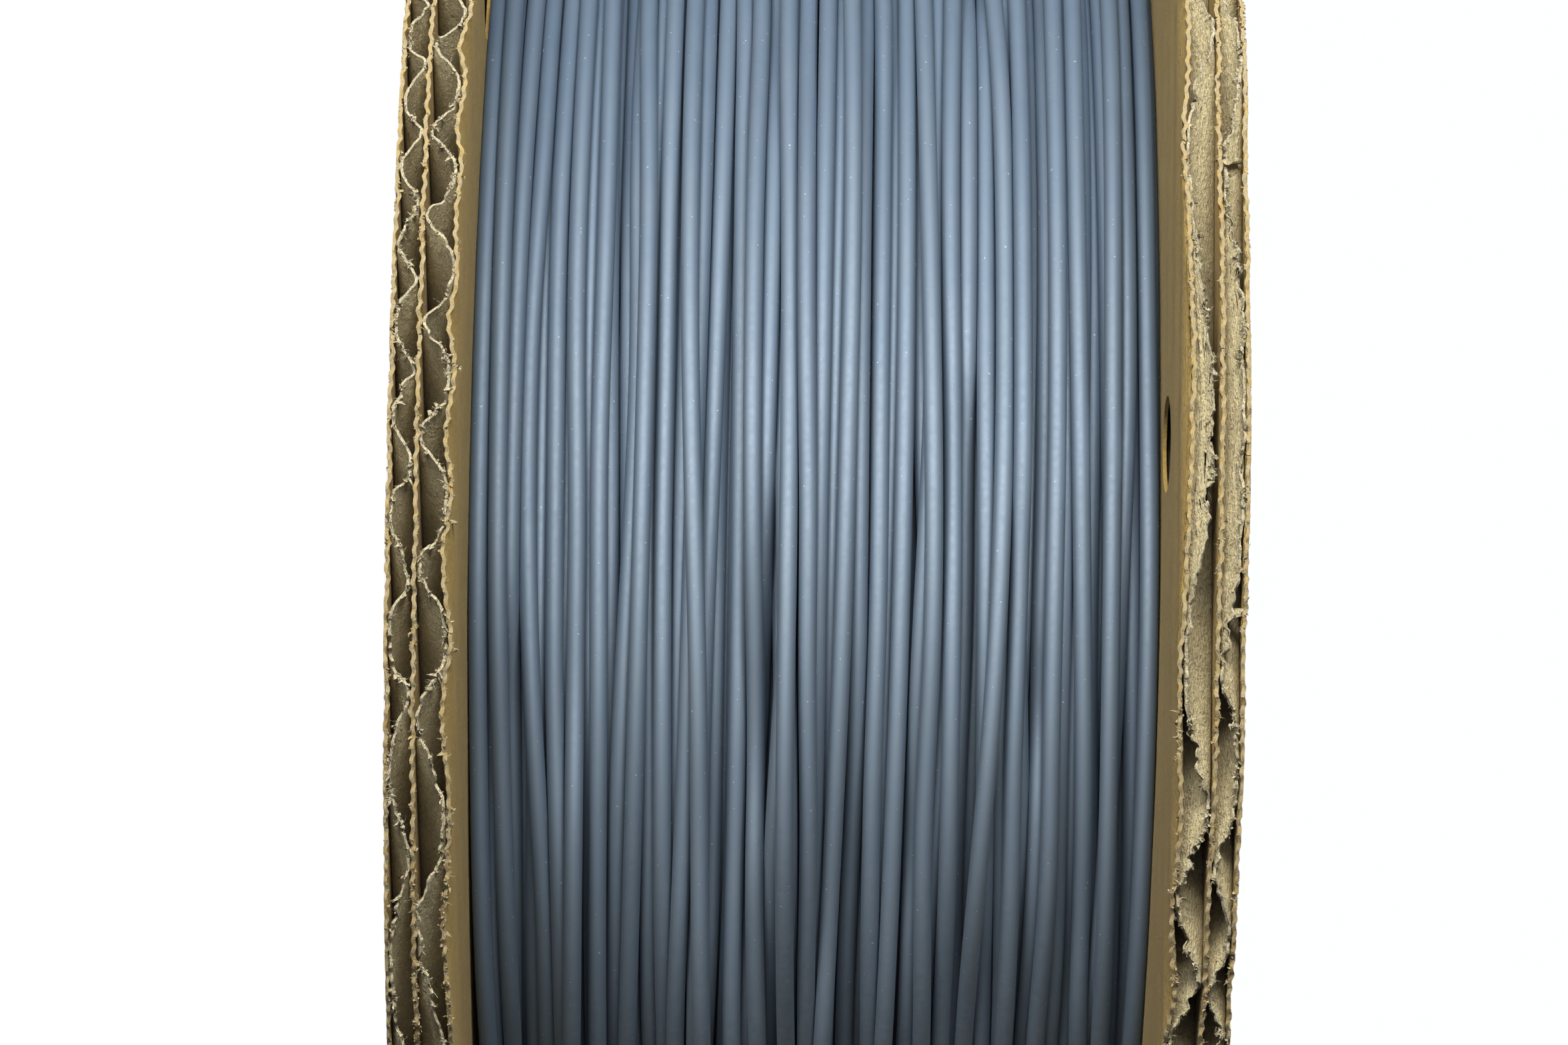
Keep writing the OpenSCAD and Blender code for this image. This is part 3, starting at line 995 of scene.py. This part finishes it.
def wind_layers(floor_r):
    """Layers go to and fro, each turn laid on those before it. Gives one pair of arrays, z and r, for
    each layer, with a row for each turn."""
    turns = int((LAY_HIGH - LAY_LOW) / TURN_PITCH)
    laid_z = np.zeros((0, STEPS + 1))
    laid_r = np.zeros((0, STEPS + 1))
    start, layers = np.array([LAY_HIGH, floor_r]), []
    for layer in range(LAYERS):
        low, high = (LAY_HIGH, LAY_LOW) if layer % 2 == 0 else (LAY_LOW, LAY_HIGH)
        path = np.linspace(low, high, turns * STEPS + 1) + WANDER * wander(turns)
        path = np.clip(path, LAY_LOW, LAY_HIGH)
        for turn in range(turns):
            wanted = path[turn * STEPS : (turn + 1) * STEPS + 1]
            z, r = lay_turn(wanted, start, laid_z[-TURNS_BELOW:], laid_r[-TURNS_BELOW:], floor_r)
            laid_z, laid_r = np.vstack([laid_z, z]), np.vstack([laid_r, r])
            start = np.array([z[-1], r[-1]])
        layers.append((laid_z[-turns:], laid_r[-turns:]))
    return layers


lowest_r = WINDING_R - CABLE_D / 2 - (LAYERS - 1) * LAYER_RISE * CABLE_D
layers = wind_layers(lowest_r)
top = np.percentile(layers[-1][1], 97) + CABLE_D / 2
lift = WINDING_R - top
print("turns a layer:", len(layers[0][0]), "top of the winding in mm:", round(top * 1000, 2))

# %% [markdown]
# ## From turns to strands
# The turns of a layer are joined end to end, and one tube follows them. The laid turns come out a
# little lower or higher than the CAD winding, so all of them are lifted to its radius. The last turn
# climbs on to the others and crosses them, so that it meets the loose end.

# %% Tubes along the turns
CLIMB_SHARE = 0.55


def ease(t):
    """0 to 1 with level ends: 3 t squared minus 2 t cubed."""
    return t * t * (3 - 2 * t)


def chain_turns(turn_z, turn_r):
    """One path from a layer's turns: the last point of a turn is the first of the next."""
    z = np.concatenate([turn_z[:, :-1].ravel(), turn_z[-1, -1:]])
    r = np.concatenate([turn_r[:, :-1].ravel(), turn_r[-1, -1:]])
    return z, r, TURN_START + np.arange(len(z)) * 2 * math.pi / STEPS


def climb_to_end(z, r):
    """The last quarter of a turn lifts on to the turns below it, in its first CLIMB_SHARE, and crosses
    them to where the loose end starts."""
    count = STEPS // 4
    share = np.linspace(0, 1, count)
    risen, crossed = ease(np.minimum(share / CLIMB_SHARE, 1)), ease(share)
    r[-count:] += (math.hypot(end_start[0], end_start[1]) - r[-count:]) * risen
    z[-count:] += (end_start[2] - z[-count:]) * crossed
    return z, r


for number, (turn_z, turn_r) in enumerate(layers, 1):
    z, r, angle = chain_turns(turn_z, turn_r + lift)
    if number == LAYERS:
        z, r = climb_to_end(z, r)
    points, faces = strand_tube(z, r, angle)
    tone = 0.5 + 0.5 * np.sin(np.arange(len(points)) / (STEPS * STRAND_SIDES) * 2.6 + number)
    mesh = build_mesh(f"cable_layer_{number}", points, faces, tone=tone)
    add_piece(f"cable_layer_{number}", mesh, cable_material, ["cable_winding"])
    print("layer", number, "radius in mm", round(r.min() * 1000, 2), "to", round(r.max() * 1000, 2))

# %% [markdown]
# ## The turns that don't show
# Most of the cable lies under the outer layers. Strands there would never show, so one ring stands
# for them, with a rib for each strand. The lowest of the laid layers rests on the tops of its ribs.

# %% The ribbed ring below
RIB_STEPS = 6
RING_STEPS = 96
RING_TONE = 0.4


def spin_profile(z, r, steps):
    """Each profile point goes round the axis in equal steps, and the ring closes on itself."""
    angle = np.arange(steps) / steps * 2 * math.pi
    x, y = r[None] * np.sin(angle)[:, None], -r[None] * np.cos(angle)[:, None]
    points = np.stack([x, y, np.broadcast_to(z, x.shape)], axis=-1).reshape(-1, 3)
    count = len(z)
    step, k = np.meshgrid(np.arange(steps), np.arange(count), indexing="ij")
    a, b = step * count + k, step * count + (k + 1) % count
    ahead = (step + 1) % steps * count
    faces = np.stack([a, ahead + k, ahead + (k + 1) % count, b], axis=-1)
    return points, faces.reshape(-1, 4)


def deep_ring(top_r):
    """A profile carried round the axis: half circles of one strand each, then the flat sides and the
    core's face. The middles of the strands that rest on it lie at top_r."""
    ribs = int((WINDING_HIGH - WINDING_LOW) / CABLE_D)
    width = (WINDING_HIGH - WINDING_LOW) / ribs
    bend = np.linspace(0, math.pi, RIB_STEPS + 1)[:-1]
    z = (WINDING_LOW + width * (np.arange(ribs)[:, None] + 0.5 - 0.5 * np.cos(bend))).ravel()
    r = np.tile(top_r - CABLE_D / 2 + 0.5 * CABLE_D * (np.sin(bend) - 1), ribs)
    z = np.concatenate([z, [WINDING_HIGH, WINDING_HIGH, WINDING_LOW]])
    r = np.concatenate([r, [top_r - CABLE_D, CORE_R, CORE_R]])
    return spin_profile(z, r, RING_STEPS)


points, faces = deep_ring(lowest_r + lift)
mesh = build_mesh("cable_deep_layers", points, faces, tone=np.full(len(points), RING_TONE))
add_piece("cable_deep_layers", mesh, cable_material, ["cable_winding"])
print("ribbed ring:", len(points), "points")

# %% [markdown]
# ## The core
# The core tube, its cover ply, the two plugs, the arbor tube and the cable's inner end are plain round
# shapes, which the CAD model already has as they should look. They stay, and only get materials.

# %% CAD nodes that stay
for name, material in (
    ("core_tube", greyboard_material), ("core_cover_ply", liner_material),
    ("arbor_tube", greyboard_material), ("lower_core_plug", greyboard_material),
    ("upper_core_plug", greyboard_material), ("cable_start_end", cable_material),
):
    nodes[name].data.materials.clear()
    nodes[name].data.materials.append(material)
    print(name, "is", material.name)

# %% [markdown]
# ## The floor
# The spool lies on a plain white sheet. The sheet glows a little, so that it comes out white under
# weak lights, but it throws no light and no shadow on to the spool.

# %% Floor
FLOOR_REACH = 6
FLOOR_GAP = 0.05 * MM
FLOOR_GLOW = 0.86
COOL_WHITE = (0.97, 0.985, 1, 1)


def make_floor():
    """A square of FLOOR_REACH metres each way, a hair below the lower flange."""
    low = FLOOR_Z - FLOOR_GAP
    corners = [(x * FLOOR_REACH, y * FLOOR_REACH, low) for x, y in ((-1, -1), (1, -1), (1, 1), (-1, 1))]
    mesh = bpy.data.meshes.new("floor")
    mesh.from_pydata(corners, [], [(0, 1, 2, 3)])
    floor = bpy.data.objects.new("floor", mesh)
    bpy.context.scene.collection.objects.link(floor)
    material, nodes, output = new_material("pale floor")
    surface = nodes.make(
        "ShaderNodeBsdfPrincipled",
        {"Base Color": (0.86, 0.87, 0.88, 1), "Roughness": 0.9, "Emission Color": COOL_WHITE,
         "Emission Strength": FLOOR_GLOW},
    )
    nodes.tree.links.new(surface.outputs[0], output.inputs["Surface"])
    mesh.materials.append(material)
    floor.visible_diffuse = False
    floor.visible_glossy = False
    floor.visible_shadow = False
    return floor


print("floor at", make_floor().data.vertices[0].co.z)

# %% [markdown]
# ## The lights
# A strip of light low on the -X side shapes the flutes and the strands. It works on matt shading
# only, and the front light on gloss only, so that the paper's shading and the cable's sheen can be
# set one at a time. The back and the top light show the sides that face away. The world is bright
# to the camera and nearly dark to the spool, which keeps the shadows in the flutes deep.

# %% Lights and world
LIGHT_AIM = (0, 0, 0.04)
WORLD_SEEN = 1.02
WORLD_LIGHT = 0.035


def area_light(name, place, along_axis, across, power, color):
    """A rectangle of light at place, turned to face LIGHT_AIM. Its first side runs as near along the
    spool's axis as it can, and its second is the axis crossed with the way it faces."""
    data = bpy.data.lights.new(name, "AREA")
    data.shape = "RECTANGLE"
    data.size = along_axis
    data.size_y = across
    data.energy = power
    data.color = color
    light = bpy.data.objects.new(name, data)
    bpy.context.scene.collection.objects.link(light)
    direction = Vector(LIGHT_AIM) - Vector(place)
    back = -direction.normalized()
    short_way = back.cross(Vector((0, 0, 1))).normalized()
    long_way = short_way.cross(back)
    turned = Matrix((long_way, short_way, back)).transposed()
    light.matrix_world = Matrix.Translation(place) @ turned.to_4x4()
    return light


def light_world():
    """The world's strength is WORLD_SEEN for the camera's own rays and WORLD_LIGHT for all others."""
    world = bpy.data.worlds.new("studio")
    bpy.context.scene.world = world
    world.use_nodes = True
    nodes = Nodes(world.node_tree)
    seen = nodes.make("ShaderNodeLightPath").outputs["Is Camera Ray"]
    background = world.node_tree.nodes["Background"]
    background.inputs["Color"].default_value = COOL_WHITE
    strength = nodes.band(seen, 0, 1, WORLD_LIGHT, WORLD_SEEN)
    world.node_tree.links.new(strength, background.inputs["Strength"])


main_light = area_light("main light", (-0.71, -0.73, 0.03), 0.75, 0.22, 20, (1, 0.985, 0.95))
main_light.visible_glossy = False
front_light = area_light("front light", (-0.2, -0.83, -0.08), 1.3, 0.45, 46, (1, 0.995, 0.98))
front_light.visible_diffuse = False
area_light("back light", (0.35, 0.85, 0.3), 0.8, 0.6, 14, (1, 0.99, 0.97))
area_light("top light", (0.0, 0.05, 1.0), 0.7, 0.7, 7, (1, 0.99, 0.97))
light_world()
bpy.context.scene.view_settings.view_transform = "Standard"
print("lights:", len(bpy.data.lights))
